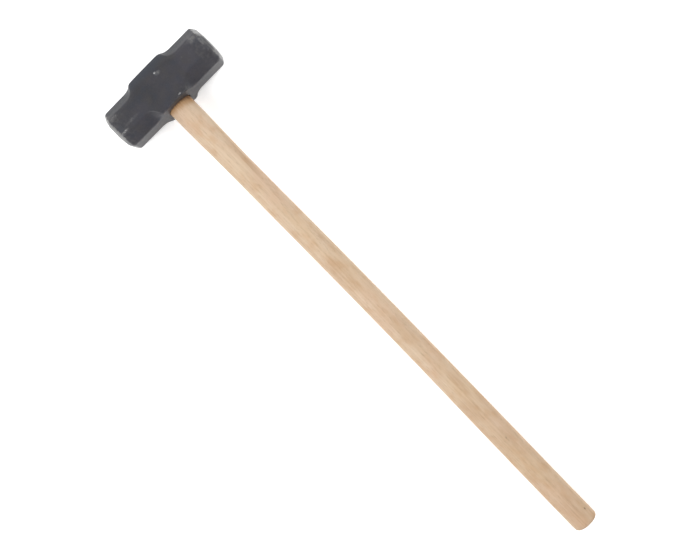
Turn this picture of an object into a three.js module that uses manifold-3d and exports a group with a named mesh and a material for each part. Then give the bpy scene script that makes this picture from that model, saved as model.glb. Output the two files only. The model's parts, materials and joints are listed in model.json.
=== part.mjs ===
// A double-faced sledgehammer: a forged steel head hung on an ash handle.
//
// Millimetres. Each piece is shaped in the tool's own frame: +X runs down the handle from the
// middle of the eye to the butt, +Y runs along the head from one striking face to the other, and
// +Z stands square to both. At the end the whole tool is laid on the ground, +Z up, resting on one
// cheek of its head and on its butt, with the origin on the ground under the middle of the tool.

import * as THREE from "three";
import { LoftGeometry } from "three/addons/geometries/LoftGeometry.js";
import { mergeVertices } from "three/addons/utils/BufferGeometryUtils.js";
import Module from "manifold-3d";

const wasm = await Module();
wasm.setup();

// The whole tool
const OVERALL_LENGTH = 900; // end of the tenon to the butt
const FIT_GAP = 0.3; // left between two pieces that touch

// The head
const HEAD_LENGTH = 186.4; // between the tops of the two crowned faces
const END_HEIGHT = 62.2; // of a striking end, along the handle
const EYE_BLOCK_HEIGHT = 64.6; // of the block round the eye, along the handle
const HEAD_THICKNESS = 64.2; // from cheek to cheek
const CHAMFER_LEG = 16; // of the four long chamfers that make each end eight-sided
const BROKEN_EDGE_LEG = 1.2; // where the eye block's long edges are only eased

// Where a chamfer starts to run out (outer) and has run out (inner), from the eye's middle, and how
// much of the run-out's length is its hollow curve
const CROWN_SCOOP = { outer: 47, inner: 24, hollowShare: 0.62 };
const UNDERSIDE_SCOOP = { outer: 42, inner: 22.2, hollowShare: 0.76 };

// The striking ends
const RIM_BEVEL_LENGTH = 4.4; // of the bevel round a face, along the head
const RIM_BEVEL_INSET = 5.2; // of the same bevel, towards the middle of the face
const FACE_CROWN = 1.6; // how far a face's middle stands out from its rim
const FACE_FLAT_SHARE = 0.3; // the face's flat middle, as a share of its width

// The eye and the tenon in it
const EYE_PINCH = 0.07; // how much narrower the eye is halfway through than at its mouths
const TENON_PROUD = 1.6; // how far the tenon stands out of the crown

// The handle, an oval that is wider along the head than across it
const OVAL_THICKNESS_SHARE = 0.84; // thickness over width
const NECK_WIDTH = 38.2; // where it enters the eye
const WAIST_WIDTH = 35.9; // behind the neck
const GRIP_WIDTH = 36.4; // along the upper half
const MIDDLE_WIDTH = 36.8; // past the middle
const SWELL_WIDTH = 38; // along the last third
const BUTT_WIDTH = 38.3; // just before the rounded end
const BUTT_ROUNDING = 6; // radius of the edge round the butt
const BUTT_DOME = 0.9; // how far the butt's middle stands out from its rounded edge
const HANDLE_BOW = 2; // sideways bow of the wood, at its most

// The wedges, driven in from the crown
const WOODEN_WEDGE = { top: 7, tip: 1.4, depth: 46, width: 60 };
const STEEL_WEDGE = { top: 4, tip: 1.4, depth: 28, width: 21 };
const STEEL_WEDGE_OFFSET = 9.2; // from the eye's middle, along the head
const STEEL_WEDGE_SKEW = THREE.MathUtils.degToRad(8); // they are never driven quite square

// How finely the curves are stepped
const OVAL_SIDES = 32;
const SCOOP_STEPS = 14;
const CROWN_STEPS = 4;
const EYE_STEPS = 6;
const HANDLE_STEPS = 20;
const ROUNDING_STEPS = 5;

const HALF_HEAD = HEAD_LENGTH / 2;
const UNDERSIDE_X = EYE_BLOCK_HEIGHT / 2;
const TENON_END_X = -EYE_BLOCK_HEIGHT / 2 - TENON_PROUD;
const BUTT_X = TENON_END_X + OVERALL_LENGTH;

// A closed geometry as a solid that can be joined and cut.
function solidFrom(geometry) {
  const bare = new THREE.BufferGeometry();
  bare.setIndex(geometry.index);
  bare.setAttribute("position", geometry.getAttribute("position"));
  const merged = mergeVertices(bare);
  return new wasm.Manifold(
    new wasm.Mesh({
      numProp: 3,
      vertProperties: merged.attributes.position.array,
      triVerts: new Uint32Array(merged.index.array),
    }),
  );
}

// A solid's surface as a geometry again.
function geometryFrom(solid) {
  const { vertProperties, triVerts } = solid.getMesh();
  const geometry = new THREE.BufferGeometry();
  geometry.setAttribute("position", new THREE.BufferAttribute(vertProperties, 3));
  geometry.setIndex(new THREE.BufferAttribute(triVerts, 1));
  geometry.computeVertexNormals();
  return geometry;
}

function loftSolid(sections) {
  return solidFrom(new LoftGeometry(sections, { capStart: true, capEnd: true }));
}

// The share of a chamfer that is left at a distance from the eye's middle: 1 on the striking ends
// and 0 on the eye block. Between them the chamfer runs out in a scoop whose profile is two arcs
// that meet: a hollow one from the end, then a smaller rounded one into the block.
function chamferShare(distance, { outer, inner, hollowShare }) {
  const length = outer - inner;
  const rise = CHAMFER_LEG - BROKEN_EDGE_LEG;
  const turn = 2 * Math.atan(rise / length);
  const radii = length / Math.sin(turn);
  const hollow = radii * hollowShare;
  const rounded = radii - hollow;
  const fromInner = THREE.MathUtils.clamp(distance - inner, 0, length);
  const fromOuter = length - fromInner;
  if (fromInner < rounded * Math.sin(turn)) {
    return (rounded - Math.sqrt(rounded ** 2 - fromInner ** 2)) / rise;
  }
  return 1 - (hollow - Math.sqrt(hollow ** 2 - fromOuter ** 2)) / rise;
}

// One eight-sided section across the head. The crown's side and the handle's side each have their
// own distance from the eye's middle and their own chamfer leg.
function headSection(y, crown, underside, thickness) {
  const corners = [
    [-crown.height, -thickness / 2 + crown.leg],
    [-crown.height, thickness / 2 - crown.leg],
    [-crown.height + crown.leg, thickness / 2],
    [underside.height - underside.leg, thickness / 2],
    [underside.height, thickness / 2 - underside.leg],
    [underside.height, -thickness / 2 + underside.leg],
    [underside.height - underside.leg, -thickness / 2],
    [-crown.height + crown.leg, -thickness / 2],
  ];
  return corners.map(([x, z]) => new THREE.Vector3(x, y, z));
}

// One side of the body's section, where its chamfers run out in that scoop.
function bodySide(y, scoop) {
  const share = chamferShare(Math.abs(y), scoop);
  const height = THREE.MathUtils.lerp(EYE_BLOCK_HEIGHT, END_HEIGHT, share) / 2;
  const leg = THREE.MathUtils.lerp(BROKEN_EDGE_LEG, CHAMFER_LEG, share);
  return { height, leg };
}

// The section at a place along the head's body, between its two rims.
function bodySection(y) {
  return headSection(y, bodySide(y, CROWN_SCOOP), bodySide(y, UNDERSIDE_SCOOP), HEAD_THICKNESS);
}

// A section of a striking face, shrunk to a share of the face inside the rim bevel.
function faceSection(y, share) {
  const height = (END_HEIGHT / 2 - RIM_BEVEL_INSET) * share;
  const thickness = (HEAD_THICKNESS - 2 * RIM_BEVEL_INSET) * share;
  const leg = (CHAMFER_LEG - RIM_BEVEL_INSET * (2 - Math.SQRT2)) * share;
  return headSection(y, { height, leg }, { height, leg }, thickness);
}

// The sections of the far half of the head, from the eye's middle to the middle of the face.
function halfHeadSections() {
  const sections = [];
  for (let step = 0; step <= SCOOP_STEPS; step += 1) {
    const y = THREE.MathUtils.lerp(UNDERSIDE_SCOOP.inner, CROWN_SCOOP.outer, step / SCOOP_STEPS);
    sections.push(bodySection(y));
  }
  sections.push(bodySection(HALF_HEAD - FACE_CROWN - RIM_BEVEL_LENGTH));
  for (let step = 0; step <= CROWN_STEPS; step += 1) {
    const share = THREE.MathUtils.lerp(1, FACE_FLAT_SHARE, step / CROWN_STEPS);
    const drop = (share ** 2 - FACE_FLAT_SHARE ** 2) / (1 - FACE_FLAT_SHARE ** 2);
    sections.push(faceSection(HALF_HEAD - FACE_CROWN * drop, share));
  }
  return sections;
}

function headBlank() {
  const far = halfHeadSections();
  const near = far.map((section) => section.map((p) => new THREE.Vector3(p.x, -p.y, p.z)));
  return loftSolid([...near.reverse(), ...far]);
}

// One oval section across the handle. The bow is the sideways place of its middle.
function ovalSection(x, width, bow, inset = 0) {
  const halfWidth = width / 2 - inset;
  const halfThickness = (width * OVAL_THICKNESS_SHARE) / 2 - inset;
  const points = [];
  for (let side = 0; side < OVAL_SIDES; side += 1) {
    const angle = (side / OVAL_SIDES) * 2 * Math.PI;
    const y = bow + halfWidth * Math.cos(angle);
    points.push(new THREE.Vector3(x, y, halfThickness * Math.sin(angle)));
  }
  return points;
}

// The eye's width at a place along it: an hourglass that both mouths open out of.
function eyeWidth(x) {
  const fromMiddle = x / UNDERSIDE_X;
  return NECK_WIDTH * (1 - EYE_PINCH * (1 - Math.min(fromMiddle ** 2, 1)));
}

// The wood inside the eye, or with a clearance the eye itself.
function eyeSections(fromX, toX, clearance) {
  const sections = [];
  for (let step = 0; step <= EYE_STEPS; step += 1) {
    const x = THREE.MathUtils.lerp(fromX, toX, step / EYE_STEPS);
    sections.push(ovalSection(x, eyeWidth(x), 0, -clearance));
  }
  return sections;
}

function handleBow(x) {
  const along = (x - UNDERSIDE_X) / (BUTT_X - UNDERSIDE_X);
  return HANDLE_BOW * Math.sin(Math.PI * THREE.MathUtils.clamp(along, 0, 1)) ** 2;
}

// The widths along the free part of the handle, as a smooth curve of (place, width).
function handleWidthCurve() {
  const roundingX = BUTT_X - BUTT_DOME - BUTT_ROUNDING;
  return new THREE.SplineCurve([
    new THREE.Vector2(UNDERSIDE_X, NECK_WIDTH),
    new THREE.Vector2(UNDERSIDE_X + 50, NECK_WIDTH),
    new THREE.Vector2(UNDERSIDE_X + 110, WAIST_WIDTH),
    new THREE.Vector2(UNDERSIDE_X + 270, GRIP_WIDTH),
    new THREE.Vector2(UNDERSIDE_X + 500, MIDDLE_WIDTH),
    new THREE.Vector2(UNDERSIDE_X + 640, SWELL_WIDTH),
    new THREE.Vector2(roundingX, BUTT_WIDTH),
  ]);
}

// The rounded edge and the slight dome of the butt.
function buttSections() {
  const sections = [];
  const roundingX = BUTT_X - BUTT_DOME - BUTT_ROUNDING;
  for (let step = 1; step <= ROUNDING_STEPS; step += 1) {
    const angle = (step / ROUNDING_STEPS) * (Math.PI / 2);
    const x = roundingX + BUTT_ROUNDING * Math.sin(angle);
    const inset = BUTT_ROUNDING * (1 - Math.cos(angle));
    sections.push(ovalSection(x, BUTT_WIDTH, handleBow(x), inset));
  }
  sections.push(ovalSection(BUTT_X, BUTT_WIDTH, handleBow(BUTT_X), 2 * BUTT_ROUNDING));
  return sections;
}

// The handle's whole outside, before the tenon is slotted for the wedges.
function handleBlank() {
  const free = handleWidthCurve()
    .getSpacedPoints(HANDLE_STEPS)
    .slice(1)
    .map(({ x, y: width }) => ovalSection(x, width, handleBow(x)));
  return loftSolid([...eyeSections(TENON_END_X, UNDERSIDE_X, 0), ...free, ...buttSections()]);
}

// A wedge with its wide end at the tenon's end, driven along +X, its taper in Y and its width in Z.
// With a clearance it is the slot that such a wedge stands in.
function wedgeSolid({ top, tip, depth, width }, clearance, place) {
  const outline = new THREE.Shape();
  const reach = clearance > 0 ? 1 : 0;
  outline.moveTo(-reach, -top / 2 - clearance);
  outline.lineTo(depth + clearance, -tip / 2 - clearance);
  outline.lineTo(depth + clearance, tip / 2 + clearance);
  outline.lineTo(-reach, top / 2 + clearance);
  const fullWidth = width + 2 * clearance;
  const geometry = new THREE.ExtrudeGeometry(outline, { depth: fullWidth, bevelEnabled: false });
  geometry.translate(0, 0, -fullWidth / 2);
  geometry.rotateX(place.turn);
  geometry.translate(TENON_END_X, place.y, 0);
  return solidFrom(geometry);
}

// The eye runs right through the head and past both of its mouths.
function headSolid() {
  const throughBlock = UNDERSIDE_X + 4;
  const eye = loftSolid(eyeSections(-throughBlock, throughBlock, FIT_GAP));
  return headBlank().subtract(eye);
}

const ACROSS_THE_EYE = { y: 0, turn: Math.PI / 2 };
const STEEL_PLACES = {
  steel_wedge_near_end: { y: -STEEL_WEDGE_OFFSET, turn: -STEEL_WEDGE_SKEW },
  steel_wedge_far_end: { y: STEEL_WEDGE_OFFSET, turn: STEEL_WEDGE_SKEW },
};

// Takes the two steel wedges' slots out of a piece of wood.
function slottedForSteel(wood) {
  return Object.values(STEEL_PLACES).reduce(
    (left, place) => left.subtract(wedgeSolid(STEEL_WEDGE, FIT_GAP, place)),
    wood,
  );
}

function handleSolid() {
  const kerf = wedgeSolid(WOODEN_WEDGE, FIT_GAP, ACROSS_THE_EYE);
  return slottedForSteel(handleBlank().subtract(kerf));
}

// The wooden wedge spans the tenon, and its two ends follow the tenon's oval.
function woodenWedgeSolid() {
  const driven = wedgeSolid(WOODEN_WEDGE, 0, ACROSS_THE_EYE);
  return slottedForSteel(driven.intersect(handleBlank()));
}

const FINISHES = {
  head: { color: 0x53525a, roughness: 0.5, metalness: 0.1 },
  ash: { color: 0xd8bb98, roughness: 0.62, metalness: 0 },
  wedge_wood: { color: 0xb98d5e, roughness: 0.75, metalness: 0 },
  steel: { color: 0x9a9a9c, roughness: 0.4, metalness: 0.9 },
};

function piece(name, solid, finish) {
  const material = new THREE.MeshStandardMaterial(FINISHES[finish]);
  const mesh = new THREE.Mesh(geometryFrom(solid), material);
  mesh.name = name;
  return mesh;
}

const tool = new THREE.Group();
tool.add(piece("head", headSolid(), "head"));
tool.add(piece("handle", handleSolid(), "ash"));
tool.add(piece("wooden_wedge", woodenWedgeSolid(), "wedge_wood"));
for (const [name, place] of Object.entries(STEEL_PLACES)) {
  tool.add(piece(name, wedgeSolid(STEEL_WEDGE, 0, place), "steel"));
}

// Lying down, the tool tips about the lower cheek's edge on the handle's side until the butt
// touches the ground.
function restTilt() {
  const cheekEdgeX = EYE_BLOCK_HEIGHT / 2 - BROKEN_EDGE_LEG;
  const buttContactX = BUTT_X - BUTT_DOME - BUTT_ROUNDING;
  const drop = HEAD_THICKNESS / 2 - (BUTT_WIDTH * OVAL_THICKNESS_SHARE) / 2;
  return Math.atan2(drop, buttContactX - cheekEdgeX);
}

tool.rotation.y = restTilt();
const box = new THREE.Box3().setFromObject(tool, true);
tool.position.set(-(box.min.x + box.max.x) / 2, -(box.min.y + box.max.y) / 2, -box.min.z);

const sledgehammer = new THREE.Group();
sledgehammer.add(tool);

export default sledgehammer;
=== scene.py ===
"""A double-faced sledgehammer: a forged and blackened steel head, hung on an ash handle and wedged.

The pieces are modelled in the tool's own axes, in metres: +X runs down the handle from the middle
of the eye to the butt, +Y runs along the head, and +Z stands square to both. Each finished piece is
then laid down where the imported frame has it.
"""

import json
import math
import random

import bmesh
import bpy
from mathutils import Matrix, Vector


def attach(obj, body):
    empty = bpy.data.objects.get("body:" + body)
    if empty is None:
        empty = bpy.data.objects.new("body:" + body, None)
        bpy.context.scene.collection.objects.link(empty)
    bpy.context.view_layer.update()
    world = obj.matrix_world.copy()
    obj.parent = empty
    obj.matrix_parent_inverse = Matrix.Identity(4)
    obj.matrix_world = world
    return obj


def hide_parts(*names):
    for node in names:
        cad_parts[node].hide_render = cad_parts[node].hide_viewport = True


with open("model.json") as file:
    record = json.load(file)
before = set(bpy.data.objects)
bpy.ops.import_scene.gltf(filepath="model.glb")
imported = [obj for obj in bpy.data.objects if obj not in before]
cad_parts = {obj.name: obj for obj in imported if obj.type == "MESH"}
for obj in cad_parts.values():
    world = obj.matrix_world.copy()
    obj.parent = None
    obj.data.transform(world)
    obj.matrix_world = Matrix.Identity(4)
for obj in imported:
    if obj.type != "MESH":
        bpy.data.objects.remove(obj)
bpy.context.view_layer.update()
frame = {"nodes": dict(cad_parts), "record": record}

MM = 0.001
TOUCHING = 0.01 * MM
mounts = {mount["name"]: mount for mount in frame["record"]["mounts"]}


# ---------------------------------------------------------------- the tool's axes, from the frame


def tool_placement():
    """The matrix that lays a piece modelled in the tool's axes down in the frame."""
    near = Vector(mounts["near_striking_face"]["pos_m"])
    far = Vector(mounts["far_striking_face"]["pos_m"])
    down_handle = Vector(mounts["near_underside"]["axis"]).normalized()
    along_head = (far - near).normalized()
    square = down_handle.cross(along_head).normalized()
    axes = Matrix((down_handle, along_head, square)).transposed().to_4x4()
    return Matrix.Translation((near + far) / 2) @ axes


PLACEMENT = tool_placement()
INTO_TOOL = PLACEMENT.inverted()


def tool_corners(node):
    """The lowest and highest corners of a CAD node, measured in the tool's axes."""
    points = [INTO_TOOL @ vertex.co for vertex in frame["nodes"][node].data.vertices]
    lowest = Vector([min(point[axis] for point in points) for axis in range(3)])
    highest = Vector([max(point[axis] for point in points) for axis in range(3)])
    return lowest, highest


def mount_place(name):
    return INTO_TOOL @ Vector(mounts[name]["pos_m"])


HEAD_HIGH = tool_corners("head")[1]
HANDLE_LOW, HANDLE_HIGH = tool_corners("handle")

# The head
HALF_HEAD = HEAD_HIGH.y
HALF_THICKNESS = HEAD_HIGH.z
HALF_BLOCK = HEAD_HIGH.x
HALF_END = mount_place("near_underside").x
CHAMFER_LEG = 16 * MM
EASED_LEG = 1.2 * MM
SCOOP_STEPS = 18

# Where a chamfer's scoop starts and ends along the head, and its hollow arc's share of it, on the
# crown side and on the handle's side.
CROWN_SCOOP = (47 * MM, 24 * MM, 0.62)
UNDER_SCOOP = (42 * MM, 22.2 * MM, 0.76)
FACE_STEPS = 6
FACE_MIDDLE_SHARE = 0.1

# The rounding from the sides into a crowned face, as (how far short of the face's middle, how far
# in from the sides), in millimetres.
RIM_PROFILE = (
    (10.0, 0.0),
    (8.4, 0.45),
    (7.0, 1.15),
    (6.0, 1.95),
    (5.1, 3.0),
    (3.4, 5.5),
    (1.7, 8.0),
)
RIM_START = HALF_HEAD - RIM_PROFILE[0][0] * MM
BARE_START = HALF_HEAD - 7.6 * MM
FAR_BARE_SHORT = 2.2 * MM

# The eye and the handle
FIT_GAP = 0.3 * MM
EYE_PINCH = 0.07
CUT_PAST_MOUTH = 6 * MM
MOUTH_FLARE = (
    (2.4 * MM, 0.0),
    (1.5 * MM, 0.2 * MM),
    (0.7 * MM, 0.8 * MM),
    (0.0, 1.7 * MM),
    (-4.0 * MM, 5.0 * MM),
)
OVAL_THICKNESS_SHARE = 0.84
OVAL_SIDES = 48
TENON_END = HANDLE_LOW.x
BUTT_END = HANDLE_HIGH.x


# ---------------------------------------------------------------------------- modelling helpers


def only(piece):
    """Makes a piece the one selected and active object."""
    bpy.ops.object.select_all(action="DESELECT")
    piece.select_set(True)
    bpy.context.view_layer.objects.active = piece


def started(name, size):
    """Names and sizes the primitive just added, applies its transforms and opens it to edit."""
    piece = bpy.context.object
    piece.name = name
    piece.data.name = name
    piece.scale = size
    only(piece)
    bpy.ops.object.transform_apply(location=True, rotation=True, scale=True)
    bpy.ops.object.mode_set(mode="EDIT")
    return piece


def pick(piece, kind, test):
    """In edit mode, selects only the vertices, edges or faces that pass a test."""
    bpy.ops.mesh.select_mode(type={"verts": "VERT", "edges": "EDGE", "faces": "FACE"}[kind])
    bpy.ops.mesh.select_all(action="DESELECT")
    mesh = bmesh.from_edit_mesh(piece.data)
    for element in getattr(mesh, kind):
        if test(element):
            element.select_set(True)
    mesh.select_flush_mode()
    bmesh.update_edit_mesh(piece.data)


def resize(value, centre):
    bpy.ops.transform.resize(value=value, center_override=centre)


def extrude(offset):
    bpy.ops.mesh.extrude_region_move(TRANSFORM_OT_translate={"value": offset})


def leave_edit_mode():
    bpy.ops.mesh.select_all(action="SELECT")
    bpy.ops.mesh.normals_make_consistent(inside=False)
    bpy.ops.object.mode_set(mode="OBJECT")


def finish_with(piece, kind, **settings):
    """Adds a modifier, sets it and applies it."""
    only(piece)
    modifier = piece.modifiers.new(kind.lower(), kind)
    for name, value in settings.items():
        setattr(modifier, name, value)
    bpy.ops.object.modifier_apply(modifier=modifier.name)


def cut(piece, cutter):
    """Takes a cutter out of a piece and throws the cutter away."""
    finish_with(piece, "BOOLEAN", operation="DIFFERENCE", solver="EXACT", object=cutter)
    bpy.data.objects.remove(cutter)


def roughen(piece, height, grain):
    """Pushes a surface in and out by a cloudy pattern of that grain size."""
    pattern = bpy.data.textures.new(piece.name + "_relief", "CLOUDS")
    pattern.noise_scale = grain
    pattern.noise_depth = 2
    finish_with(
        piece,
        "DISPLACE",
        texture=pattern,
        texture_coords="LOCAL",
        strength=height,
        mid_level=0.5,
    )


def dent(piece, place, push, reach):
    """Pushes the surface round a place in or out, with a soft edge at its reach."""
    nearest = min(piece.data.vertices, key=lambda vertex: (vertex.co - Vector(place)).length)
    middle = nearest.co.copy()
    only(piece)
    bpy.ops.object.mode_set(mode="EDIT")
    pick(piece, "verts", lambda vertex: (vertex.co - middle).length < TOUCHING)
    bpy.ops.transform.translate(
        value=push,
        use_proportional_edit=True,
        proportional_edit_falloff="SMOOTH",
        proportional_size=reach,
    )
    bpy.ops.object.mode_set(mode="OBJECT")


def smooth_shading(piece, angle):
    only(piece)
    bpy.ops.object.shade_smooth_by_angle(angle=math.radians(angle))


def lay_down(piece):
    """Takes a finished piece from the tool's axes to its place in the frame."""
    piece.matrix_world = PLACEMENT
    only(piece)
    bpy.ops.object.transform_apply(location=True, rotation=True, scale=True)
    return piece


# -------------------------------------------------------------------------------------- the head


# How each striking end is knocked about. A pair is (least, most), in millimetres.
DENTS_PER_FACE = 9
DENTED_RADIUS = 0.020
DENT_DEPTHS = (0.15, 0.40)
DENT_REACHES = (4, 9)
NICKS_PER_RIM = 7
NICKED_RADIUS = 0.028
NICKED_SHORT = 5 * MM
NICK_DEPTH = 0.5 * MM
NICK_REACHES = (1.8, 3.5)

# Places where the head isn't quite true: (place, push, reach).
FORGING_HOLLOWS = (
    ((0.026, 0.0240, 0.028), (-0.0010, 0, -0.0014), 0.009),
    ((0.024, -0.0300, 0.030), (0.0004, 0, 0.0005), 0.012),
)


def struck_dents(seed):
    """Shallow dents over both striking faces and small nicks round their rims."""
    chance = random.Random(seed)
    dents = []
    nicks = []
    for side in (-1, 1):
        for _ in range(DENTS_PER_FACE):
            turn = chance.uniform(0, 2 * math.pi)
            out = DENTED_RADIUS * math.sqrt(chance.random())
            place = (out * math.cos(turn), side * HALF_HEAD, out * math.sin(turn))
            push = (0, -side * chance.uniform(*DENT_DEPTHS) * MM, 0)
            dents.append((place, push, chance.uniform(*DENT_REACHES) * MM))
        rim = side * (HALF_HEAD - NICKED_SHORT)
        for _ in range(NICKS_PER_RIM):
            turn = chance.uniform(0, 2 * math.pi)
            place = (NICKED_RADIUS * math.cos(turn), rim, NICKED_RADIUS * math.sin(turn))
            push = (-NICK_DEPTH * math.cos(turn), 0, -NICK_DEPTH * math.sin(turn))
            nicks.append((place, push, chance.uniform(*NICK_REACHES) * MM))
    return tuple(dents), tuple(nicks)


FACE_DENTS, RIM_NICKS = struck_dents(seed=5)


def chamfer_share(distance, scoop):
    """How much of a chamfer is left at a distance from the eye's middle.

    It is 1 on the striking ends and 0 on the eye block. Between them the chamfer runs out in a
    scoop: a hollow arc from the end, then a smaller rounded arc into the block.
    """
    outer, inner, hollow_share = scoop
    length = outer - inner
    rise = CHAMFER_LEG - EASED_LEG
    turn = 2 * math.atan(rise / length)
    radii = length / math.sin(turn)
    hollow = radii * hollow_share
    rounded = radii - hollow
    from_inner = min(max(distance - inner, 0), length)
    from_outer = length - from_inner
    if from_inner < rounded * math.sin(turn):
        return (rounded - math.sqrt(rounded**2 - from_inner**2)) / rise
    return 1 - (hollow - math.sqrt(hollow**2 - from_outer**2)) / rise


def shape_scoops(head):
    """Cuts rings round the bar and opens its chamfers out into the square eye block."""
    outer = max(CROWN_SCOOP[0], UNDER_SCOOP[0])
    inner = min(CROWN_SCOOP[1], UNDER_SCOOP[1])
    rings = [inner + (outer - inner) * step / SCOOP_STEPS for step in range(SCOOP_STEPS + 1)]
    for place in [-ring for ring in rings] + rings:
        bpy.ops.mesh.select_all(action="SELECT")
        bpy.ops.mesh.bisect(plane_co=(0, place, 0), plane_no=(0, 1, 0))
    for ring in rings:
        open_ring(head, ring, -1, chamfer_share(ring, CROWN_SCOOP))
        open_ring(head, ring, 1, chamfer_share(ring, UNDER_SCOOP))


def open_ring(head, ring, side, share):
    """Sets how much chamfer a ring keeps on one side, the crown's (-1) or the handle's (1)."""
    leg = EASED_LEG + (CHAMFER_LEG - EASED_LEG) * share
    half_height = HALF_BLOCK + (HALF_END - HALF_BLOCK) * share
    cheek_growth = (half_height - leg) / (HALF_END - CHAMFER_LEG)
    crown_growth = (HALF_THICKNESS - leg) / (HALF_THICKNESS - CHAMFER_LEG)

    def on_ring(vertex):
        return abs(abs(vertex.co.y) - ring) < TOUCHING and vertex.co.x * side > 0

    pick(head, "verts", lambda v: on_ring(v) and abs(v.co.x) > HALF_END - TOUCHING)
    resize((half_height / HALF_END, 1, crown_growth), (0, 0, 0))
    pick(head, "verts", lambda v: on_ring(v) and abs(v.co.z) > HALF_THICKNESS - TOUCHING)
    resize((cheek_growth, 1, 1), (0, 0, 0))


def shape_face(head, side):
    """Draws one striking end out into its rounded rim and its crowned face."""
    end = side * RIM_START
    pick(head, "faces", lambda face: abs(face.calc_center_median().y - end) < TOUCHING)
    depth, inset = RIM_PROFILE[0]
    for new_depth, new_inset in RIM_PROFILE[1:]:
        extrude((0, side * (depth - new_depth) * MM, 0))
        height_growth = (HALF_END - new_inset * MM) / (HALF_END - inset * MM)
        thickness_growth = (HALF_THICKNESS - new_inset * MM) / (HALF_THICKNESS - inset * MM)
        resize((height_growth, 1, thickness_growth), (0, end, 0))
        depth, inset = new_depth, new_inset
    share = 1
    for step in range(1, FACE_STEPS + 1):
        new_share = 1 + (FACE_MIDDLE_SHARE - 1) * step / FACE_STEPS
        extrude((0, side * depth * MM * (share**2 - new_share**2), 0))
        resize((new_share / share, 1, new_share / share), (0, end, 0))
        share = new_share


def eye_share(place):
    """The eye's width at a place along it, as a share of its mouths' width."""
    return 1 - EYE_PINCH * (1 - min((place / HALF_BLOCK) ** 2, 1))


def eye_cutter(neck_width):
    """A long hourglass oval that runs past both mouths of the eye, which it opens out a little."""
    reach = HALF_BLOCK + CUT_PAST_MOUTH
    half_width = neck_width / 2 + FIT_GAP
    half_thickness = neck_width / 2 * OVAL_THICKNESS_SHARE + FIT_GAP
    bpy.ops.mesh.primitive_cylinder_add(
        vertices=2 * OVAL_SIDES,
        radius=1,
        depth=2 * reach,
        rotation=(0, math.pi / 2, 0),
    )
    cutter = started("eye_cutter", (half_thickness, half_width, 1))
    rings = 12
    straight = HALF_BLOCK - MOUTH_FLARE[0][0]
    stations = [(straight * (2 * step / rings - 1), 0) for step in range(rings + 1)]
    for short, opened in MOUTH_FLARE[1:]:
        stations += [(HALF_BLOCK - short, opened), (short - HALF_BLOCK, opened)]
    for place, _ in stations:
        bpy.ops.mesh.select_all(action="SELECT")
        bpy.ops.mesh.bisect(plane_co=(place, 0, 0), plane_no=(1, 0, 0))
    for place, opened in stations:
        pinch = eye_share(place)
        growth = (1, pinch + opened / half_width, pinch + opened / half_thickness)
        pick(cutter, "verts", lambda v: abs(v.co.x - place) < TOUCHING)
        resize(growth, (0, 0, 0))
    leave_edit_mode()
    return cutter


# The forging's softness and its relief, as (height, grain), and where the crown's chamfers run
# softly into the cheeks: how far below the crown, beside the eye and under the cheek that starts.
FORGED_EDGE = 1.6 * MM
FORGED_EDGE_ANGLE = math.radians(28)
HEAD_VOXEL = 0.9 * MM
FORGED_WAVES = (0.35 * MM, 22 * MM)
FORGED_SCALE = (0.12 * MM, 4 * MM)
HEAD_SMOOTHING = 16
SOFT_EDGE_SMOOTHING = 45
SOFT_BELOW_CROWN = 6 * MM
SOFT_BESIDE_EYE = 20 * MM
SOFT_UNDER_CHEEK = 11 * MM


def in_soft_crown_edges(place):
    """Whether a place lies where the crown's chamfers run softly into the cheeks."""
    below_crown = -HALF_BLOCK + SOFT_BELOW_CROWN < place.x < 0
    beside_eye = SOFT_BESIDE_EYE < abs(place.y) < RIM_START
    return below_crown and beside_eye and abs(place.z) > HALF_THICKNESS - SOFT_UNDER_CHEEK


def make_head(neck_width):
    bpy.ops.mesh.primitive_cube_add(size=2)
    head = started("forged_head", (HALF_END, RIM_START, HALF_THICKNESS))
    pick(head, "edges", lambda e: abs(e.verts[0].co.y - e.verts[1].co.y) > HALF_HEAD)
    bpy.ops.mesh.bevel(offset=CHAMFER_LEG, segments=1, affect="EDGES")
    shape_scoops(head)
    for side in (-1, 1):
        shape_face(head, side)
    leave_edit_mode()
    cut(head, eye_cutter(neck_width))
    finish_with(
        head,
        "BEVEL",
        width=FORGED_EDGE,
        segments=3,
        limit_method="ANGLE",
        angle_limit=FORGED_EDGE_ANGLE,
    )
    finish_with(head, "REMESH", mode="VOXEL", voxel_size=HEAD_VOXEL)
    finish_with(head, "SMOOTH", factor=0.5, iterations=HEAD_SMOOTHING)
    soft = head.vertex_groups.new(name="soft_crown_edges")
    soft.add([v.index for v in head.data.vertices if in_soft_crown_edges(v.co)], 1, "REPLACE")
    finish_with(
        head, "SMOOTH", factor=0.5, iterations=SOFT_EDGE_SMOOTHING, vertex_group=soft.name
    )
    for place, push, reach in FORGING_HOLLOWS + FACE_DENTS + RIM_NICKS:
        dent(head, place, push, reach)
    roughen(head, *FORGED_WAVES)
    roughen(head, *FORGED_SCALE)
    only(head)
    bpy.ops.object.shade_smooth()
    return lay_down(head)


# ------------------------------------------------------------------------------------ the handle


CLEAR_OF_BLOCK = 1 * MM
TENON_EASE = 0.7 * MM
TENON_INSET = 0.5 * MM
BUTT_INSET = 1 * MM
END_FACE_TOLERANCE = 0.05 * MM


def handle_rings():
    """The CAD handle's rings outside the eye, in order: (place, middle, half width, half thickness)."""
    rings = {}
    for vertex in frame["nodes"]["handle"].data.vertices:
        point = INTO_TOOL @ vertex.co
        if point.x > HALF_BLOCK + CLEAR_OF_BLOCK:
            rings.setdefault(round(point.x, 5), []).append(point)
    found = []
    for place, points in sorted(rings.items()):
        low = min(point.y for point in points)
        high = max(point.y for point in points)
        thick = max(point.z for point in points)
        found.append((place, (low + high) / 2, (high - low) / 2, thick))
    return found


RINGS = handle_rings()
NECK_WIDTH = 2 * RINGS[0][2]


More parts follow.
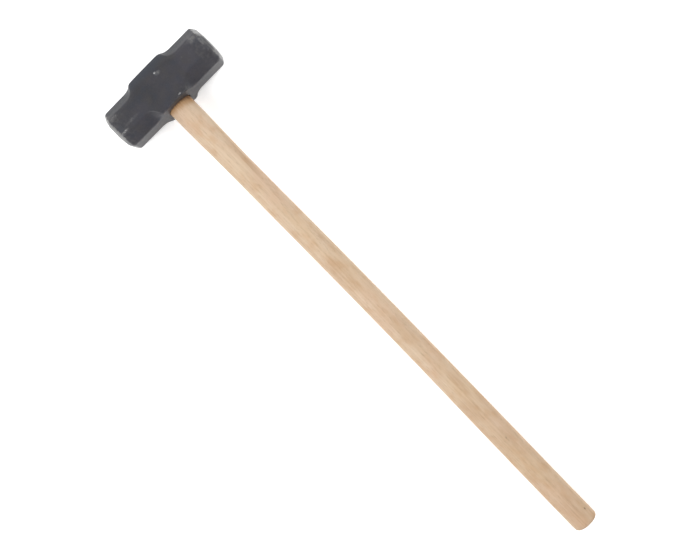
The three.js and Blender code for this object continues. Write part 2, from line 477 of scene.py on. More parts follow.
def with_tight_ends(rings):
    """Adds a small rounded ring at the tenon's end, so subdividing leaves that end nearly square."""
    place, middle, half_width, half_thickness = rings[0]
    ease = TENON_EASE
    end = (place, middle, half_width - ease, half_thickness - ease)
    rounded = (place + ease / 3, middle, half_width - ease / 3, half_thickness - ease / 3)
    full = (place + ease * 2, middle, half_width, half_thickness)
    return [end, rounded, full] + rings[1:]


def close_end(handle, place, inset):
    """Lays one narrow ring of faces inside a flat end, to keep its outline when subdivided."""
    pick(handle, "faces", lambda face: abs(face.calc_center_median().x - place) < END_FACE_TOLERANCE)
    bpy.ops.mesh.inset(thickness=inset)


def tenon_rings():
    """The tenon's rings, which fill the eye: (place, middle, half width, half thickness)."""
    steps = 8
    rings = []
    for step in range(steps + 1):
        place = TENON_END + (HALF_BLOCK - TENON_END) * step / steps
        half = NECK_WIDTH / 2 * eye_share(place)
        rings.append((place, 0, half, half * OVAL_THICKNESS_SHARE))
    return rings


def oval_bar(name, rings):
    """An oval drawn out from ring to ring along the handle, and left open to edit."""
    place, middle, half_width, half_thickness = rings[0]
    bpy.ops.mesh.primitive_circle_add(
        vertices=OVAL_SIDES,
        radius=1,
        fill_type="NGON",
        location=(place, middle, 0),
        rotation=(0, math.pi / 2, 0),
    )
    bar = started(name, (half_thickness, half_width, 1))
    pick(bar, "faces", lambda face: True)
    for before, after in zip(rings, rings[1:]):
        extrude((after[0] - before[0], after[1] - before[1], 0))
        growth = (1, after[2] / before[2], after[3] / before[3])
        resize(growth, (after[0], after[1], 0))
    return bar


def make_handle():
    """An oval drawn out from the end of the tenon, through the eye and on to the rounded butt."""
    handle = oval_bar("ash_handle", with_tight_ends(tenon_rings() + RINGS))
    close_end(handle, TENON_END, TENON_INSET)
    close_end(handle, BUTT_END, BUTT_INSET)
    leave_edit_mode()
    finish_with(handle, "SUBSURF", levels=2, render_levels=2)
    for cutter in wedge_cutters():
        cut(handle, cutter)
    smooth_shading(handle, 40)
    return lay_down(handle)


# ------------------------------------------------------------------------------------ the wedges


# A taper is a wedge's thickness at its tip over its thickness at its top.
WOODEN_WEDGE_TAPER = 1.4 / 7
STEEL_WEDGE_TAPER = 1.4 / 4
STEEL_WEDGE_TOP = 4 * MM
STEEL_WEDGE_WIDTH = 21 * MM
STEEL_WEDGE_SKEW = math.radians(8)
STEEL_WEDGES = ("steel_wedge_near_end", "steel_wedge_far_end")
CUT_PAST_TOP = 1 * MM
WEDGE_VOXEL = 0.35 * MM
WOODEN_EDGE = 0.4 * MM
STEEL_EDGE = 0.35 * MM

# The relief of each kind of wedge, as (height, grain).
SAWN_RELIEF = (0.35 * MM, 2.5 * MM)
PITTED_RELIEF = (0.12 * MM, 1.2 * MM)

# How the hammer dents a steel wedge's top. A pair is (least, most), in millimetres.
BLOWS_PER_WEDGE = 6
BLOW_SPREAD = (-1, 1)
BLOW_REACH_ACROSS = (-9, 9)
BLOW_DEPTHS = (0.15, 0.5)
BLOW_REACHES = (1.5, 3.0)

# A steel wedge's barbs and its hammered top: (share of its depth, growth in thickness and width).
BARBS = (
    (0.04, 1.16, 1.015),
    (0.10, 1.03, 1.005),
    (0.30, 1.00, 1.000),
    (0.31, 1.30, 1.000),
    (0.45, 1.00, 1.000),
    (0.46, 1.34, 1.000),
    (0.60, 1.00, 1.000),
    (0.61, 1.38, 1.000),
    (0.75, 1.00, 1.000),
)


def tapered_block(name, node, top, width, taper, clearance=0):
    """A block that tapers along +X, with its thick end at the end of the tenon."""
    low, high = tool_corners(node)
    depth = high.x - low.x
    overshoot = CUT_PAST_TOP if clearance else 0
    middle = (low.x + high.x + clearance - overshoot) / 2
    bpy.ops.mesh.primitive_cube_add(size=1, location=(middle, 0, 0))
    size = (depth + clearance + overshoot, top + 2 * clearance, width + 2 * clearance)
    wedge = started(name, size)
    pick(wedge, "verts", lambda v: v.co.x > middle)
    tip = (top * taper + 2 * clearance) / (top + 2 * clearance)
    resize((1, tip, 1), (high.x, 0, 0))
    return wedge


def set_in_tenon(node, turn):
    """Turns the open wedge about the tool's length and moves it to its place across the tenon."""
    low, high = tool_corners(node)
    bpy.ops.mesh.select_all(action="SELECT")
    bpy.ops.transform.rotate(value=turn, orient_axis="X", center_override=(0, 0, 0))
    bpy.ops.transform.translate(value=(0, (low.y + high.y) / 2, 0))
    leave_edit_mode()


def wooden_wedge_block(name, clearance=0):
    low, high = tool_corners("wooden_wedge")
    width = 2 * NECK_WIDTH if clearance else high.y - low.y
    wedge = tapered_block(
        name, "wooden_wedge", high.z - low.z, width, WOODEN_WEDGE_TAPER, clearance
    )
    set_in_tenon("wooden_wedge", math.pi / 2)
    return wedge


def steel_wedge_turn(node):
    return -STEEL_WEDGE_SKEW if "far" in node else STEEL_WEDGE_SKEW


def steel_wedge_slot(node):
    slot = tapered_block(
        "slot", node, STEEL_WEDGE_TOP, STEEL_WEDGE_WIDTH, STEEL_WEDGE_TAPER, FIT_GAP
    )
    set_in_tenon(node, steel_wedge_turn(node))
    return slot


def wedge_cutters():
    yield wooden_wedge_block("kerf", clearance=FIT_GAP)
    for node in STEEL_WEDGES:
        yield steel_wedge_slot(node)


def make_wooden_wedge():
    """A hardwood board driven into the kerf: sawn off with the tenon and split by the steel ones."""
    wedge = wooden_wedge_block("driven_wooden_wedge")
    outline = oval_bar("tenon_outline", tenon_rings())
    leave_edit_mode()
    finish_with(wedge, "BOOLEAN", operation="INTERSECT", solver="EXACT", object=outline)
    bpy.data.objects.remove(outline)
    for node in STEEL_WEDGES:
        cut(wedge, steel_wedge_slot(node))
    finish_with(wedge, "BEVEL", width=WOODEN_EDGE, segments=2, limit_method="ANGLE")
    finish_with(wedge, "REMESH", mode="VOXEL", voxel_size=WEDGE_VOXEL)
    finish_with(wedge, "SMOOTH", factor=0.5, iterations=3)
    roughen(wedge, *SAWN_RELIEF)
    smooth_shading(wedge, 60)
    return lay_down(wedge)


def make_steel_wedge(name, node, seed):
    """A barbed steel wedge with its top spread and dented by the hammer that drove it."""
    wedge = tapered_block(name, node, STEEL_WEDGE_TOP, STEEL_WEDGE_WIDTH, STEEL_WEDGE_TAPER)
    low, high = tool_corners(node)
    depth = high.x - low.x
    stations = [(low.x + depth * share, thick, wide) for share, thick, wide in BARBS]
    for place, _, _ in stations:
        bpy.ops.mesh.select_all(action="SELECT")
        bpy.ops.mesh.bisect(plane_co=(place, 0, 0), plane_no=(1, 0, 0))
    for place, thick, wide in stations:
        pick(wedge, "verts", lambda v: abs(v.co.x - place) < TOUCHING)
        resize((1, thick, wide), (place, 0, 0))
    set_in_tenon(node, steel_wedge_turn(node))
    finish_with(wedge, "BEVEL", width=STEEL_EDGE, segments=2, limit_method="ANGLE")
    finish_with(wedge, "REMESH", mode="VOXEL", voxel_size=WEDGE_VOXEL)
    finish_with(wedge, "SMOOTH", factor=0.5, iterations=2)
    chance = random.Random(seed)
    middle = (low.y + high.y) / 2
    for _ in range(BLOWS_PER_WEDGE):
        sideways = middle + chance.uniform(*BLOW_SPREAD) * MM
        place = (low.x, sideways, chance.uniform(*BLOW_REACH_ACROSS) * MM)
        push = (chance.uniform(*BLOW_DEPTHS) * MM, 0, 0)
        dent(wedge, place, push, chance.uniform(*BLOW_REACHES) * MM)
    roughen(wedge, *PITTED_RELIEF)
    smooth_shading(wedge, 50)
    return lay_down(wedge)


# ------------------------------------------------------------------------------------- materials


class Recipe:
    """One material, built up node by node."""

    def __init__(self, name):
        self.material = bpy.data.materials.new(name)
        self.material.use_nodes = True
        self.nodes = self.material.node_tree.nodes
        self.links = self.material.node_tree.links
        self.shader = self.nodes["Principled BSDF"]

    def feed(self, socket, value):
        """Joins another node's output to a socket, or sets the socket to a plain value."""
        if isinstance(value, bpy.types.NodeSocket):
            self.links.new(value, socket)
        else:
            socket.default_value = value

    def add(self, kind, fed, output=0, **settings):
        """Adds a node, feeds the named or numbered sockets and hands back one output."""
        node = self.nodes.new("ShaderNode" + kind)
        for name, value in settings.items():
            setattr(node, name, value)
        for socket, value in fed.items():
            self.feed(node.inputs[socket], value)
        return node.outputs[output]

    def tool_place(self):
        """Where a point lies in the tool's own axes."""
        seen = self.add("TexCoord", {}, output="Object")
        laid = {1: PLACEMENT.translation, 2: PLACEMENT.to_euler()}
        return self.add("Mapping", {0: seen, **laid}, vector_type="TEXTURE")

    def parts(self, place):
        split = self.nodes.new("ShaderNodeSeparateXYZ")
        self.feed(split.inputs[0], place)
        return split.outputs

    def stretch(self, place, factors, shift=(0, 0, 0)):
        return self.add("Mapping", {0: place, 1: shift, 3: factors}, vector_type="POINT")

    def noise(self, place, scale=1.0, detail=3.0, roughness=0.5):
        fed = {"Vector": place, "Scale": scale, "Detail": detail, "Roughness": roughness}
        return self.add("TexNoise", fed)

    def spread(self, value, low, high, to_low=0.0, to_high=1.0, soft=False):
        """Carries a value from one range to another and stops at its ends."""
        kind = "SMOOTHSTEP" if soft else "LINEAR"
        fed = {0: value, 1: low, 2: high, 3: to_low, 4: to_high}
        return self.add("MapRange", fed, interpolation_type=kind)

    def math(self, operation, first, second=0.0):
        return self.add("Math", {0: first, 1: second}, operation=operation)

    def plus(self, first, second):
        return self.math("ADD", first, second)

    def times(self, first, second):
        return self.math("MULTIPLY", first, second)

    def mix(self, share, first, second):
        """Mixes two colours."""
        fed = {0: share, 6: first, 7: second}
        return self.add("Mix", fed, output=2, data_type="RGBA")

    def mix_values(self, share, first, second):
        return self.add("Mix", {0: share, 2: first, 3: second}, data_type="FLOAT")

    def patch(self, place, centre, reach):
        """A soft-edged patch: 1 at its centre, falling to 0 at its reach along each axis."""
        factors = tuple(1 / size for size in reach)
        shift = tuple(-at / size for at, size in zip(centre, reach))
        away = self.add(
            "VectorMath",
            {0: self.stretch(place, factors, shift)},
            output="Value",
            operation="LENGTH",
        )
        return self.spread(away, 0.35, 1, 1, 0, soft=True)

    def bump(self, height, distance, strength):
        return self.add("Bump", {"Height": height, "Distance": distance, "Strength": strength})

    def finish(self, base, roughness, metallic=0.0, specular=0.5, normal=None):
        """Feeds the shader and hands the material back."""
        self.feed(self.shader.inputs["Base Color"], base)
        self.feed(self.shader.inputs["Roughness"], roughness)
        self.feed(self.shader.inputs["Metallic"], metallic)
        self.feed(self.shader.inputs["Specular IOR Level"], specular)
        if normal is not None:
            self.feed(self.shader.inputs["Normal"], normal)
        return self.material


def colour(red, green, blue):
    return (red, green, blue, 1)


def dress(piece, material):
    piece.data.materials.clear()
    piece.data.materials.append(material)


# The ash's colours, from fresh wood to the oil stain at the head, with painted shade and painted shadow
# where the head darkens the wood.
PALE_ASH = colour(0.645, 0.492, 0.348)
TAN_ASH = colour(0.56, 0.395, 0.255)
EARLY_WOOD = colour(0.30, 0.19, 0.11)
DARK_STREAK = colour(0.38, 0.225, 0.12)
LIGHT_STREAK = colour(0.62, 0.49, 0.37)
DARK_MOTTLE = colour(0.48, 0.275, 0.135)
LIGHT_MOTTLE = colour(0.66, 0.53, 0.40)
PINK_BLUSH = colour(0.60, 0.40, 0.28)
YELLOW_BLUSH = colour(0.66, 0.49, 0.31)
FIBRE_SHADE = colour(0.32, 0.21, 0.12)
OPEN_PORE = colour(0.16, 0.10, 0.06)
CLOUD_BROWN = colour(0.36, 0.195, 0.090)
KNOT_BROWN = colour(0.10, 0.06, 0.035)
# Amber at the head: partly an oil stain, partly painted shade from the head.
OILED_AND_SHADED_ASH = colour(0.36, 0.175, 0.05)
# Painted shadow where the wood goes into the eye.
PAINTED_HEAD_SHADOW = colour(0.10, 0.045, 0.02)
END_GRAIN = colour(0.25, 0.16, 0.09)
END_GRAIN_RING = colour(0.11, 0.065, 0.035)
SAWN_LINE = colour(0.33, 0.23, 0.14)

# Where the tree's middle lies beside the handle, and how its rings and fibres run.
PITH = (0.0, -0.055, -0.085)
RING_WIDTH = 2.6 * MM
GRAIN_RUNOUT = 0.007
GRAIN_WANDER = 2.6 * MM

# Where a change in the wood starts and where it is complete, down the handle.
TANNED = (0.04, 0.86)
# Amber band at the head: partly an oil stain, partly painted shade from the head.
OILED_AND_SHADED = (HALF_BLOCK + 2 * MM, HALF_BLOCK + 13 * MM)
# Dark band of painted shadow where the wood goes into the eye.
HEAD_SHADOW_RANGE = (HALF_BLOCK - 3 * MM, HALF_BLOCK + 3 * MM)
SAWN_END = (TENON_END + 0.2 * MM, TENON_END + 1.4 * MM)

# Soft darker clouds in the ash, as (place down the handle, place across it, length, width, depth).
CLOUDS = (
    (0.150, 0.013, 0.050, 0.008, 0.35),
    (0.364, -0.002, 0.045, 0.016, 0.25),
    (0.484, 0.004, 0.040, 0.014, 0.25),
    (0.592, 0.008, 0.034, 0.007, 0.38),
    (0.630, -0.006, 0.028, 0.014, 0.28),
    (0.695, 0.000, 0.026, 0.016, 0.22),
    (0.832, 0.002, 0.032, 0.018, 0.28),
)
CLOUD_LEVEL = 0.015
CLOUD_REACH_UP = 0.02

# Small dark knots, as (place down the handle, place across it).
PIN_KNOTS = ((0.693, 0.003), (0.843, 0.0125))
KNOT_LEVEL = 0.013
KNOT_REACH = (0.0022, 0.0012, 0.006)


def ash_wood():
    wood = Recipe("ash_wood")
    place = wood.tool_place()
    x, y, z = wood.parts(place)

    wander = wood.noise(wood.stretch(place, (3.0, 26, 26)), detail=2)
    wander = wood.spread(wander, 0.25, 0.75, -GRAIN_WANDER, GRAIN_WANDER)
    leaning = wood.add("CombineXYZ", {1: y, 2: z})
    radius = wood.add(
        "VectorMath", {0: leaning, 1: PITH}, output="Value", operation="DISTANCE"
    )
    radius = wood.plus(radius, wander)
    radius = wood.plus(radius, wood.times(x, GRAIN_RUNOUT))
    ring = wood.math("FRACT", wood.times(radius, 1 / RING_WIDTH))
    early = wood.times(
        wood.spread(ring, 0.0, 0.10, soft=True), wood.spread(ring, 0.18, 0.75, 1, 0, soft=True)
    )

    fibre = wood.noise(wood.stretch(place, (16, 700, 700)), detail=4, roughness=0.6)
    streak = wood.noise(wood.stretch(place, (5, 190, 190)), detail=2)
    drift = wood.noise(wood.stretch(place, (9, 40, 40)), detail=2)
    pore = wood.noise(wood.stretch(place, (130, 2300, 2300)), detail=1)
    pore = wood.spread(pore, 0.60, 0.68)
    pore = wood.times(pore, wood.spread(early, 0, 1, 0.25, 1))

    tone = wood.spread(x, *TANNED)
    tone = wood.plus(tone, wood.spread(drift, 0.3, 0.7, -0.25, 0.25))
    base = wood.mix(wood.spread(tone, 0, 1), PALE_ASH, TAN_ASH)
    base = wood.mix(wood.times(early, 0.085), base, EARLY_WOOD)
    base = wood.mix(wood.spread(streak, 0.52, 0.75, 0, 0.13), base, DARK_STREAK)
    base = wood.mix(wood.spread(streak, 0.45, 0.25, 0, 0.14), base, LIGHT_STREAK)
    mottle = wood.noise(wood.stretch(place, (48, 85, 85), (7, 3, 1)), detail=3)
    base = wood.mix(wood.spread(mottle, 0.50, 0.68, 0, 0.40), base, DARK_MOTTLE)
    base = wood.mix(wood.spread(mottle, 0.47, 0.30, 0, 0.32), base, LIGHT_MOTTLE)
    blush = wood.noise(wood.stretch(place, (14, 30, 30), (2, 9, 5)), detail=3)
    base = wood.mix(wood.spread(blush, 0.50, 0.66, 0, 0.30), base, PINK_BLUSH)
    base = wood.mix(wood.spread(blush, 0.48, 0.34, 0, 0.22), base, YELLOW_BLUSH)
    base = wood.mix(wood.spread(fibre, 0.35, 0.75, 0, 0.18), base, FIBRE_SHADE)
    base = wood.mix(wood.times(pore, 0.45), base, OPEN_PORE)

    patchy = wood.spread(fibre, 0.35, 0.6, 0.4, 1)
    for down, across, length, width, depth in CLOUDS:
        cloud = wood.patch(place, (down, across, CLOUD_LEVEL), (length, width, CLOUD_REACH_UP))
        cloud = wood.times(wood.times(cloud, patchy), depth)
        base = wood.mix(cloud, base, CLOUD_BROWN)
    for down, across in PIN_KNOTS:
        knot = wood.patch(place, (down, across, KNOT_LEVEL), KNOT_REACH)
        base = wood.mix(wood.times(knot, 0.8), base, KNOT_BROWN)

    # Painted shade from the head mixed with the oil stain: it reaches further down on the +Y side,
    # where the head's shadow falls.
    oil_and_shade_reach = wood.plus(x, wood.spread(y, -0.018, 0.018, 0.004, -0.004))
    oil_and_shade_reach = wood.plus(oil_and_shade_reach, wood.spread(fibre, 0.3, 0.7, -0.003, 0.003))
    amber_oil_and_shade = wood.spread(oil_and_shade_reach, *OILED_AND_SHADED, 1, 0, soft=True)
    base = wood.mix(wood.times(amber_oil_and_shade, 0.70), base, OILED_AND_SHADED_ASH)
    # Painted shadow where the wood goes into the eye's mouth.
    head_shadow = wood.spread(oil_and_shade_reach, *HEAD_SHADOW_RANGE, 1, 0, soft=True)
    base = wood.mix(wood.times(head_shadow, 0.75), base, PAINTED_HEAD_SHADOW)

    end_grain = wood.spread(x, *SAWN_END, 1, 0)
    sawn = wood.noise(wood.stretch(place, (1, 240, 2600)), detail=2)
    base = wood.mix(wood.times(end_grain, 0.40), base, END_GRAIN)
    base = wood.mix(wood.times(end_grain, wood.times(early, 0.6)), base, END_GRAIN_RING)
    base = wood.mix(
        wood.times(end_grain, wood.spread(sawn, 0.45, 0.7, 0, 0.5)), base, SAWN_LINE
    )

    relief = wood.plus(wood.times(fibre, 0.6), wood.times(pore, -0.5))
    relief = wood.plus(relief, wood.times(early, -0.25))
    shine = wood.spread(fibre, 0.3, 0.7, 0.48, 0.60)
    shine = wood.plus(shine, wood.times(pore, 0.15))
    return wood.finish(base, shine, specular=0.35, normal=wood.bump(relief, 0.12 * MM, 0.7))


# The black coat's colours and those of the steel under it, with painted shade on the crown-side chamfer
# and a painted highlight on the cheek's edge beside it.
COAT_GREY = colour(0.035, 0.035, 0.039)
COAT_VIOLET = colour(0.048, 0.046, 0.056)
COAT_WARM = colour(0.052, 0.048, 0.046)
COAT_BLUE = colour(0.030, 0.036, 0.050)
COAT_DUST = colour(0.085, 0.083, 0.090)
COAT_RUBBED = colour(0.11, 0.105, 0.11)
# Painted shade: a darker, bluer copy of the coat for the crown-side chamfer.
SHADED_CHAMFER_COAT = colour(0.020, 0.023, 0.031)
# Painted highlight: a lighter, bluer copy of the coat along the cheek's edge by that chamfer.
CROWN_EDGE_HIGHLIGHT = colour(0.050, 0.056, 0.069)
END_DUST = colour(0.085, 0.082, 0.088)
SCUFFED_COAT = colour(0.10, 0.098, 0.10)
DULL_STEEL = colour(0.20, 0.20, 0.20)
GROUND_STEEL = colour(0.30, 0.30, 0.30)
BROWNED_STEEL = colour(0.23, 0.215, 0.20)
FRESH_CHIP = colour(0.55, 0.55, 0.56)

# Where paint is left on the far rim, down the handle from the head's middle.
KEPT_PAINT_MIDDLE = 6 * MM

# Where a change in the coat, painted shade and highlight included, starts and where it is complete:
# down the handle (DOWN), out along the head (OUT) or up from the head's middle (UP).
CROWN_SIDE_DOWN = (-16 * MM, -28 * MM)
# How far up the crown-side chamfer's painted shade runs.
CHAMFER_SHADE_UP = (31.5 * MM, 28 * MM)
# How far up the cheek's painted highlight runs.
CHEEK_HIGHLIGHT_UP = (29 * MM, 31.5 * MM)
DUSTED_OUT = (0.035, 0.080)
SCUFFED_OUT = (0.055, 0.085)
FAR_SHORT_DOWN = (-0.016, -0.004)
KEPT_PAINT_WIDTH = (0.011, 0.017)
KEPT_PAINT_UP = (0.017, 0.023)
STAINED_DOWN = (0.014, 0.024)
STAINED_UP = (0.008, 0.014)
WORN_SHARPNESS = (0.515, 0.56)

# Marks worn through the head's coat, as (along it, down the handle, reach along, reach down, depth).
CHEEK_MARKS = (
    (0.0081, -0.0158, 0.0026, 0.0022, 3.2),
    (0.0112, -0.0132, 0.0060, 0.0038, 0.62),
    (0.0131, 0.0291, 0.0036, 0.0018, 2.8),
    (-0.0795, 0.0119, 0.0095, 0.0026, 1.10),
    (-0.0790, -0.0130, 0.0110, 0.0050, 0.50),
    (-0.0600, 0.0070, 0.0160, 0.0030, 0.30),
    (-0.0395, 0.0300, 0.0080, 0.0030, 0.55),
    (0.0770, -0.0120, 0.0100, 0.0070, 0.60),
    (0.0860, -0.0030, 0.0045, 0.0120, 0.80),
)
MARK_LEVEL = 0.030
MARK_REACH_UP = 0.008


def blackened_steel():
    steel = Recipe("blackened_steel")
    place = steel.tool_place()
    x, y, z = steel.parts(place)
    along = steel.math("ABSOLUTE", y)

    cloudy = steel.noise(place, 26, detail=3)
    ragged = steel.noise(place, 190, detail=4, roughness=0.65)
    scale = steel.noise(place, 900, detail=3, roughness=0.6)
    fine = steel.noise(place, 3200, detail=2)

    coat = steel.mix(
        steel.spread(cloudy, 0.35, 0.65), COAT_GREY, COAT_VIOLET
    )
    tint = steel.noise(steel.stretch(place, (1, 1, 1), (3, 8, 2)), 70, detail=3)
    coat = steel.mix(steel.spread(tint, 0.52, 0.70, 0, 0.5), coat, COAT_WARM)
    coat = steel.mix(steel.spread(tint, 0.48, 0.32, 0, 0.5), coat, COAT_BLUE)
    coat = steel.mix(steel.spread(scale, 0.45, 0.75, 0, 0.35), coat, COAT_DUST)
    coat = steel.mix(steel.spread(ragged, 0.62, 0.80, 0, 0.5), coat, COAT_RUBBED)

    # Painted shade on the crown-side chamfer and a painted highlight on the cheek's edge beside it,
    # from how the light falls there.
    crown_side = steel.spread(x, *CROWN_SIDE_DOWN, 0, 0.7, soft=True)
    chamfer_shade = steel.times(crown_side, steel.spread(z, *CHAMFER_SHADE_UP))
    # Painted highlight along the cheek's edge by the crown-side chamfer.
    cheek_edge_highlight = steel.times(crown_side, steel.spread(z, *CHEEK_HIGHLIGHT_UP))
    coat = steel.mix(chamfer_shade, coat, SHADED_CHAMFER_COAT)
    coat = steel.mix(cheek_edge_highlight, coat, CROWN_EDGE_HIGHLIGHT)
    end_scale = steel.spread(along, *DUSTED_OUT, 0, 0.12, soft=True)
    coat = steel.mix(end_scale, coat, END_DUST)

    edge = steel.add("NewGeometry", {}, output="Pointiness")
    worn = steel.spread(edge, *WORN_SHARPNESS)
    worn = steel.times(worn, steel.spread(ragged, 0.42, 0.62))
    scuffed = steel.times(steel.spread(along, *SCUFFED_OUT), steel.spread(ragged, 0.45, 0.65))
    coat = steel.mix(steel.times(scuffed, 0.5), coat, SCUFFED_COAT)

    rim_line = steel.plus(along, steel.spread(ragged, 0.3, 0.7, -1.1 * MM, 1.1 * MM))
    far_short = steel.times(steel.spread(y, -0.01, 0.01), steel.spread(x, *FAR_SHORT_DOWN))
    rim_line = steel.plus(rim_line, steel.times(far_short, -FAR_BARE_SHORT))
    bare = steel.spread(rim_line, BARE_START - 0.2 * MM, BARE_START + 0.5 * MM)
    kept_width = steel.math("ABSOLUTE", steel.plus(x, -KEPT_PAINT_MIDDLE))
    kept_width = steel.plus(kept_width, steel.spread(ragged, 0.3, 0.7, -0.004, 0.004))
    kept = steel.times(steel.spread(y, 0, 0.01), steel.spread(kept_width, *KEPT_PAINT_WIDTH, 1, 0))
    kept = steel.times(kept, steel.spread(z, *KEPT_PAINT_UP))
    stained = steel.times(steel.spread(x, *STAINED_DOWN), steel.spread(z, *STAINED_UP))
    stained = steel.times(stained, steel.spread(ragged, 0.35, 0.65, 0.85, 0.25))
    kept = steel.math("MAXIMUM", kept, stained)
    kept = steel.times(kept, steel.spread(scale, 0.60, 0.72, 0.95, 0.4))
    bare = steel.times(bare, steel.math("SUBTRACT", 1.0, kept))
    bare = steel.math("MAXIMUM", bare, steel.times(worn, 0.7))
    broken = steel.times(
        steel.spread(scale, 0.35, 0.65, 0.5, 1.0), steel.spread(ragged, 0.40, 0.58, 0.35, 1.0)
    )
    fresh = 0.0
    for sideways, down, reach_along, reach_down, depth in CHEEK_MARKS:
        reach = (reach_down, reach_along, MARK_REACH_UP)
        mark = steel.patch(place, (down, sideways, MARK_LEVEL), reach)
        mark = steel.times(steel.times(mark, broken), depth)
        bare = steel.math("MAXIMUM", bare, steel.math("MINIMUM", mark, 0.9))
        fresh = steel.math("MAXIMUM", fresh, steel.spread(mark, 0.55, 1.0))

    ground = steel.noise(steel.stretch(place, (2600, 200, 260)), detail=3)
    bright = steel.mix(
        steel.spread(ground, 0.3, 0.7), DULL_STEEL, GROUND_STEEL
    )
    bright = steel.mix(
        steel.spread(ragged, 0.45, 0.7, 0, 0.5), bright, BROWNED_STEEL
    )
    surface = steel.mix(bare, coat, steel.mix(fresh, bright, FRESH_CHIP))

    coat_gloss = steel.spread(scale, 0.3, 0.7, 0.34, 0.48)
    metal_gloss = steel.spread(ground, 0.3, 0.7, 0.34, 0.50)
    relief = steel.plus(steel.times(scale, 0.55), steel.times(fine, 0.25))
    relief = steel.plus(relief, steel.times(bare, -0.5))
    return steel.finish(
        surface,
        steel.mix_values(bare, coat_gloss, metal_gloss),
        metallic=steel.times(bare, 0.85),
        specular=0.27,
        normal=steel.bump(relief, 0.15 * MM, 0.6),
    )


def wedge_hardwood():
    wood = Recipe("wedge_hardwood")
    place = wood.tool_place()
    fibre = wood.noise(wood.stretch(place, (60, 1500, 900)), detail=4, roughness=0.6)
    band = wood.noise(wood.stretch(place, (12, 300, 120)), detail=2)
    base = wood.mix(wood.spread(band, 0.3, 0.7), colour(0.34, 0.20, 0.10), colour(0.24, 0.13, 0.06))
    base = wood.mix(wood.spread(fibre, 0.45, 0.7, 0, 0.6), base, colour(0.12, 0.065, 0.03))
    rough = wood.spread(fibre, 0.3, 0.7, 0.6, 0.8)
    return wood.finish(base, rough, normal=wood.bump(fibre, 0.2 * MM, 0.8))


def wedge_steel():
    steel = Recipe("wedge_steel")
    place = steel.tool_place()
    pitted = steel.noise(place, 900, detail=4, roughness=0.65)
    stained = steel.noise(place, 260, detail=3)
    base = steel.mix(
        steel.spread(pitted, 0.35, 0.65), colour(0.42, 0.41, 0.40), colour(0.26, 0.25, 0.24)
    )
    rust = steel.spread(stained, 0.50, 0.62)
    base = steel.mix(steel.times(rust, 0.7), base, colour(0.13, 0.065, 0.03))
    rough = steel.plus(steel.spread(pitted, 0.3, 0.7, 0.3, 0.5), steel.times(rust, 0.25))
    shown = steel.spread(rust, 0, 1, 1, 0.2)
    return steel.finish(base, rough, metallic=shown, normal=steel.bump(pitted, 0.1 * MM, 0.6))


# ------------------------------------------------------------------------ camera, floor and light

LENS = 42.17
SENSOR_WIDTH = 36
NEAR_CLIP = 0.05
CAMERA_DISTANCE = 1.1725
CAMERA_OVER = (0.3800, -0.0007, 0.0)
VIEW_ROLL = math.radians(45.72)
VIEW_TURN = math.radians(4.2)
FLOOR_SIZE = 14
FLOOR_PAPER = colour(0.92, 0.92, 0.92)
FLOOR_ROUGHNESS = 0.8
FLOOR_GLOW = 0.42
SKY = 0.3
LIGHT_SIZE = 2.2

# Three large soft lights round the tool: (name, where it stands, power).
SOFT_LIGHTS = (
    ("near_side_light", (0.0, -2.2, 2.1), 67),
    ("far_side_light", (0.0, 2.2, 2.1), 52),
    ("crown_side_light", (-2.4, 0.0, 2.0), 19),
)


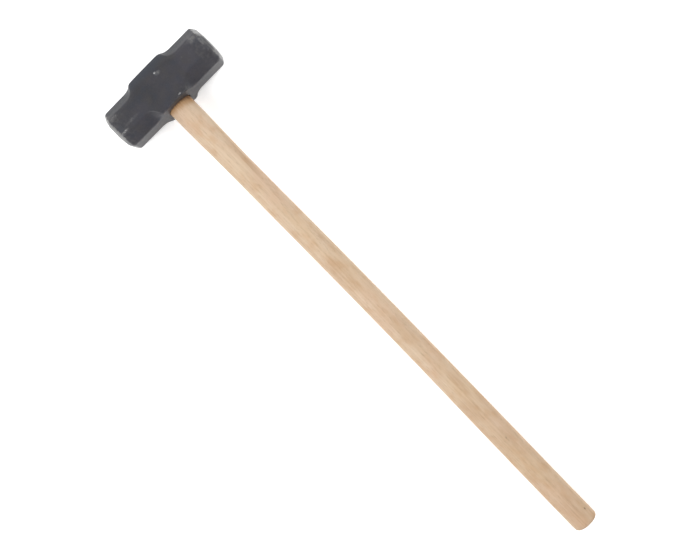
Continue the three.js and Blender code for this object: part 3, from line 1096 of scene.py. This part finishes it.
def make_camera():
    """Looks almost squarely down on the tool, turned a little about its handle."""
    down_handle, along_head, square = (PLACEMENT.col[axis].to_3d() for axis in range(3))
    towards_camera = square * math.cos(VIEW_TURN) + along_head * math.sin(VIEW_TURN)
    across = towards_camera.cross(down_handle)
    right = down_handle * math.cos(VIEW_ROLL) + across * math.sin(VIEW_ROLL)
    up = towards_camera.cross(right)
    data = bpy.data.cameras.new("camera")
    data.sensor_width = SENSOR_WIDTH
    data.lens = LENS
    data.clip_start = NEAR_CLIP
    camera = bpy.data.objects.new("camera", data)
    axes = Matrix((right, up, towards_camera)).transposed().to_4x4()
    stand = PLACEMENT @ Vector(CAMERA_OVER) + towards_camera * CAMERA_DISTANCE
    camera.matrix_world = Matrix.Translation(stand) @ axes
    bpy.context.scene.collection.objects.link(camera)
    bpy.context.scene.camera = camera


def make_floor():
    bpy.ops.object.select_all(action="DESELECT")
    bpy.ops.mesh.primitive_plane_add(size=FLOOR_SIZE)
    floor = bpy.context.object
    floor.name = "floor"
    paper = Recipe("floor_paper")
    paper.shader.inputs["Emission Color"].default_value = colour(1, 1, 1)
    paper.shader.inputs["Emission Strength"].default_value = FLOOR_GLOW
    dress(floor, paper.finish(FLOOR_PAPER, FLOOR_ROUGHNESS))


def make_light(name, place, size, power):
    """A round soft box that faces the middle of the floor."""
    data = bpy.data.lights.new(name, "AREA")
    data.shape = "DISK"
    data.size = size
    data.energy = power
    light = bpy.data.objects.new(name, data)
    light.location = place
    light.rotation_euler = (-Vector(place)).to_track_quat("-Z", "Y").to_euler()
    bpy.context.scene.collection.objects.link(light)


def make_studio():
    scene = bpy.context.scene
    scene.view_settings.view_transform = "Standard"
    world = bpy.data.worlds.new("studio")
    world.use_nodes = True
    background = world.node_tree.nodes["Background"]
    background.inputs["Color"].default_value = (1, 1, 1, 1)
    background.inputs["Strength"].default_value = SKY
    scene.world = world
    for name, place, power in SOFT_LIGHTS:
        make_light(name, place, LIGHT_SIZE, power)


# ------------------------------------------------------------------------------------------ build


make_camera()
make_studio()
make_floor()

head = make_head(NECK_WIDTH)
handle = make_handle()
wooden_wedge = make_wooden_wedge()
steel_wedges = [
    make_steel_wedge("driven_" + node, node, seed) for seed, node in enumerate(STEEL_WEDGES, 3)
]

dress(head, blackened_steel())
dress(handle, ash_wood())
dress(wooden_wedge, wedge_hardwood())
steel_for_wedges = wedge_steel()
for wedge in steel_wedges:
    dress(wedge, steel_for_wedges)

for piece, node, slot in (
    (head, "head", "black_steel"),
    (handle, "handle", "ash"),
    (wooden_wedge, "wooden_wedge", "wedge_wood"),
    (steel_wedges[0], "steel_wedge_near_end", "bare_steel"),
    (steel_wedges[1], "steel_wedge_far_end", "bare_steel"),
):
    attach(piece, "root")
    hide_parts(node)
